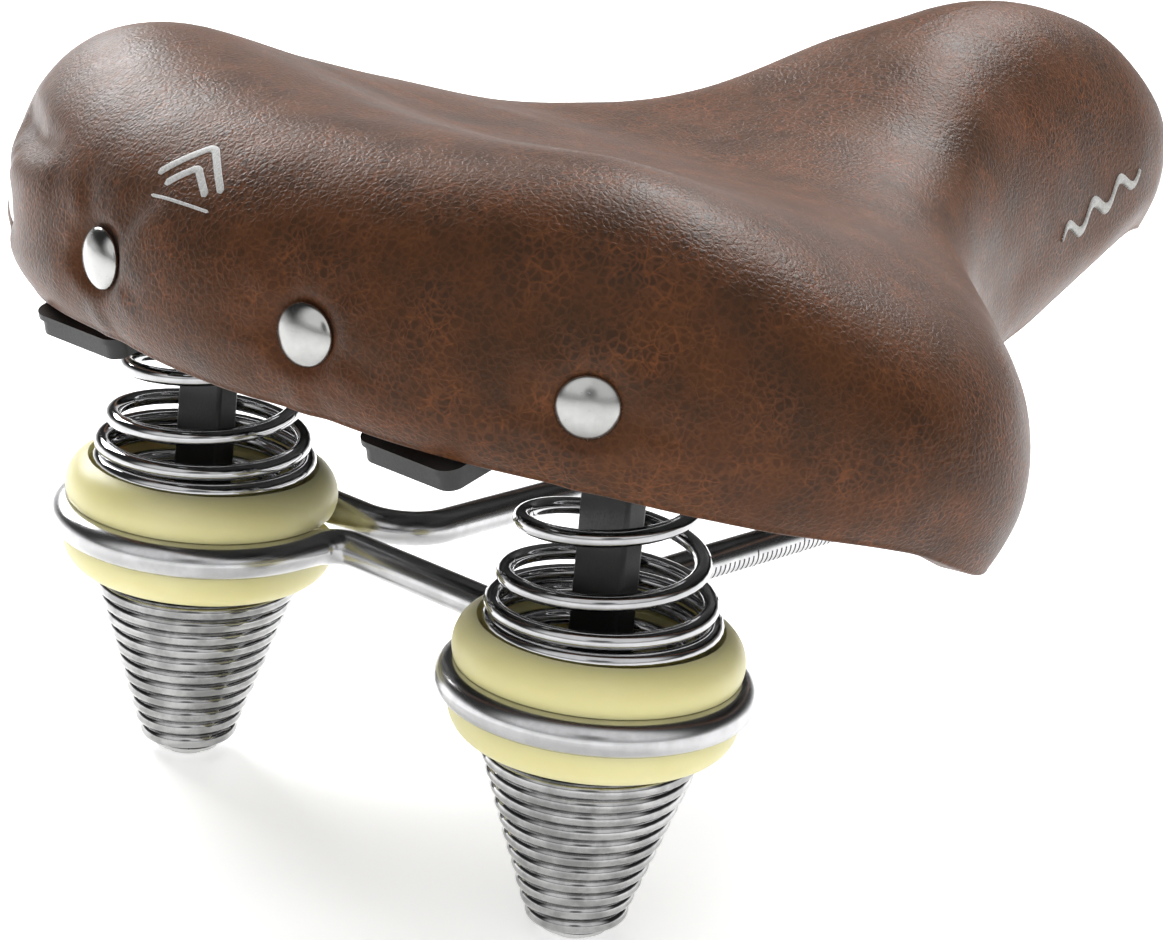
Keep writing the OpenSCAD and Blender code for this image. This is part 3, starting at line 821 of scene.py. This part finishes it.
def build_ticks(paint):
    """Length marks on the outer side of both rails, every tenth one longer."""
    pitch, first_x, count = 1.43, -14.5, 32
    verts, faces = [], []
    for side in (1, -1):
        for i in range(count):
            x = first_x + pitch * i
            long = i % 10 == 0
            high, low = (22, -48) if long else (4, -40)
            steps = 8
            first = len(verts)
            for k in range(steps + 1):
                a = math.radians(high + (low - high) * k / steps)
                out = np.array([0, side * math.cos(a), math.sin(a)])
                base = np.array([x, side * RAIL_Y, 0.0])
                for dx, lift in ((-0.17, -0.05), (-0.17, 0.03), (0.17, 0.03), (0.17, -0.05)):
                    verts.append(base + out * (RAIL_R + lift) + np.array([dx, 0, 0]))
            faces += ring_faces(steps + 1, 4, first)
            faces.append(tuple(first + k for k in (3, 2, 1, 0)))
            faces.append(tuple(first + steps * 4 + k for k in range(4)))
    ticks = new_object("rail_ticks", verts, faces, smooth=False)
    return finish_piece(ticks, RAIL, paint)


# ---------------------------------------------------------------- studio
# azimuth, elevation and roll in degrees; target and distance in metres; focal length in millimetres
CAMERA_ANGLES = (311.04, 18.58, 5.37)
CAMERA_TARGET = (-0.0493, -0.0198, 0.0256)
CAMERA_DISTANCE = 0.7968
CAMERA_LENS = 130.7
# ways from the saddle toward the pale wall and toward the dark patch in it
WALL_WAY = (-0.755, -0.656, 0.0)
PATCH_WAY = (-0.715, -0.622, 0.319)


def build_camera():
    """Camera behind the saddle and to its right, a little above it."""
    azimuth, elevation, roll = (math.radians(a) for a in CAMERA_ANGLES)
    target = Vector(CAMERA_TARGET)
    level = math.cos(elevation)
    back = Vector((math.sin(azimuth) * level, -math.cos(azimuth) * level, math.sin(elevation)))
    data = bpy.data.cameras.new("camera")
    data.sensor_width = 36.0
    data.lens = CAMERA_LENS
    data.clip_start, data.clip_end = 0.05, 50.0
    cam = bpy.data.objects.new("camera", data)
    bpy.context.scene.collection.objects.link(cam)
    turn = (-back).to_track_quat("-Z", "Y").to_matrix() @ Matrix.Rotation(roll, 3, "Z")
    cam.matrix_world = Matrix.Translation(target + back * CAMERA_DISTANCE) @ turn.to_4x4()
    bpy.context.scene.camera = cam
    return cam


def area_light(name, position, target, size, power):
    data = bpy.data.lights.new(name, "AREA")
    data.shape = "RECTANGLE"
    data.size, data.size_y = size
    data.energy = power
    lamp = bpy.data.objects.new(name, data)
    bpy.context.scene.collection.objects.link(lamp)
    lamp.location = position
    lamp.rotation_mode = "QUATERNION"
    lamp.rotation_quaternion = (Vector(target) - Vector(position)).to_track_quat("-Z", "Y")
    return lamp


def build_world():
    """A pale wall with a dark patch behind the saddle, a dark ceiling and front, and a pale horizon."""
    world = bpy.data.worlds.new("studio")
    bpy.context.scene.world = world
    world.use_nodes = True
    tree = world.node_tree
    direction = add(tree, "ShaderNodeTexCoord").outputs["Generated"]
    split = add(tree, "ShaderNodeSeparateXYZ")
    link(tree, direction, split.inputs[0])
    height = split.outputs["Z"]

    def toward(way):
        node = add(tree, "ShaderNodeVectorMath", operation="DOT_PRODUCT")
        link(tree, direction, node.inputs[0])
        node.inputs[1].default_value = way
        return node.outputs["Value"]

    wallward = toward(WALL_WAY)
    wall = remap(tree, wallward, 0.12, 0.70, 0.0, 1.35)
    wall = maths(tree, "MULTIPLY", wall, remap(tree, height, 0.05, 0.40, 0.35, 1.0))
    horizon = remap(tree, height, 0.20, -0.04, 0.0, 1.0)
    horizon = maths(tree, "MULTIPLY", horizon, remap(tree, wallward, 0.30, -0.20, 0.30, 1.0))
    level = maths(tree, "MAXIMUM", wall, horizon)
    level = maths(tree, "MULTIPLY", level, remap(tree, toward(PATCH_WAY), 0.960, 0.995, 1.0, 0.15))
    light = mix_colour(tree, level, (0.035, 0.035, 0.035), (1.0, 1.0, 1.0))
    link(tree, light, tree.nodes["Background"].inputs["Color"])


def build_studio():
    scene = bpy.context.scene
    scene.view_settings.view_transform = "Standard"
    build_world()
    floor_z = CAD_BOX[0].z / MM
    steps, floor_r = 96, 6000
    angles = [2 * math.pi * k / steps for k in range(steps)]
    verts = [(0, 0, floor_z)]
    verts += [(floor_r * math.cos(a), floor_r * math.sin(a), floor_z) for a in angles]
    faces = [(0, 1 + k, 1 + (k + 1) % steps) for k in range(steps)]
    floor = new_object("floor", verts, faces, smooth=False)
    floor.data.materials.append(floor_material())
    centre = (0.0, 0.0, 0.04)
    area_light("left_softbox", (0.16, 1.04, 0.64), centre, (0.7, 0.5), 14.0)
    area_light("front_softbox", (0.72, 0.17, 1.05), centre, (0.7, 0.9), 22.0)


# ---------------------------------------------------------------- put together
def dress_cad(materials):
    """Every CAD node that stays gets its finished material."""
    wanted = {
        "rail_wire": "rail", "left_elastomer": "rubber", "right_elastomer": "rubber",
        "base_shell": "plastic", "rivet_washers": "zinc", "left_post": "plastic", "right_post": "plastic",
        "left_spring_cup": "plastic", "right_spring_cup": "plastic", "cup_screws": "zinc",
        "left_tip_washer": "zinc", "right_tip_washer": "zinc", "tip_bolts": "zinc",
        "left_bag_loop": "plastic", "right_bag_loop": "plastic", "bag_loop_screws": "zinc",
        "nose_bush": "bush", "nose_clip": "zinc", "nose_screws": "zinc"}
    for node, key in wanted.items():
        slots = NODES[node].data.materials
        if len(slots) == 0:
            slots.append(materials[key])
        for i in range(len(slots)):
            slots[i] = materials[key]


def main():
    build_camera()
    build_studio()
    materials = {
        "leather": leather_material(),
        "lining": lining_material(),
        "foam": foam_material(),
        "rail": metal_material("rail_satin_chrome", (0.57, 0.57, 0.58), 0.20, 0.25, 2600.0, 0.03),
        "spring": metal_material("spring_bright_chrome", (0.52, 0.52, 0.53), 0.04, 0.09, 1500.0, 0.03),
        # The cone is the same chrome wire as the coils, given a darker colour and deep dark blotches: painted
        # dark reflections.
        "cone": metal_material(
            "spring_cone_chrome_painted_dark_reflections", (0.48, 0.48, 0.48), 0.04, 0.09, 1500.0, 0.03, 0.0, 0.60),
        "rivet": metal_material("rivet_polished", (0.50, 0.50, 0.49), 0.14, 0.24, 1400.0, 0.06, 0.25),
        "zinc": metal_material("zinc_plated_steel", (0.66, 0.66, 0.65), 0.24, 0.38, 1800.0, 0.12),
        "rubber": rubber_material(),
        "plastic": plastic_material("moulded_black_plastic", (0.012, 0.012, 0.012), 0.40, 0.35),
        "bush": plastic_material("bush_plastic", (0.03, 0.03, 0.03), 0.32, 0.1),
        "ink": paint_material("silver_print", (0.55, 0.55, 0.54), 0.5),
        "thread": paint_material("pale_thread", (0.60, 0.60, 0.58), 0.6, 0.3),
        "tick": paint_material("black_marking", (0.012, 0.012, 0.012), 0.5),
    }
    dress_cad(materials)
    grid, normal = cover_grid()
    cover = build_cover(grid, normal, materials["leather"], materials["lining"])
    build_foam(grid, normal, materials["foam"])
    cover_tree = BVHTree.FromObject(cover, bpy.context.evaluated_depsgraph_get())
    build_print(cover_tree, materials["ink"])
    build_stitching(cover_tree, materials["thread"])
    build_rivets(materials["rivet"])
    build_ticks(materials["tick"])
    coil_ends = (COIL_SPLIT, COIL[-1][0])
    cone_ends = (COIL[0][0], COIL_SPLIT)
    for side in ("left", "right"):
        coils, cone = f"{side}_spring_coils", f"{side}_spring_cone"
        build_spring(side, *coil_ends, coils, *COILS_BEND_Z, materials["spring"], f"{side}_spring")
        build_spring(side, *cone_ends, cone, *CONE_BEND_Z, materials["cone"], None)


main()
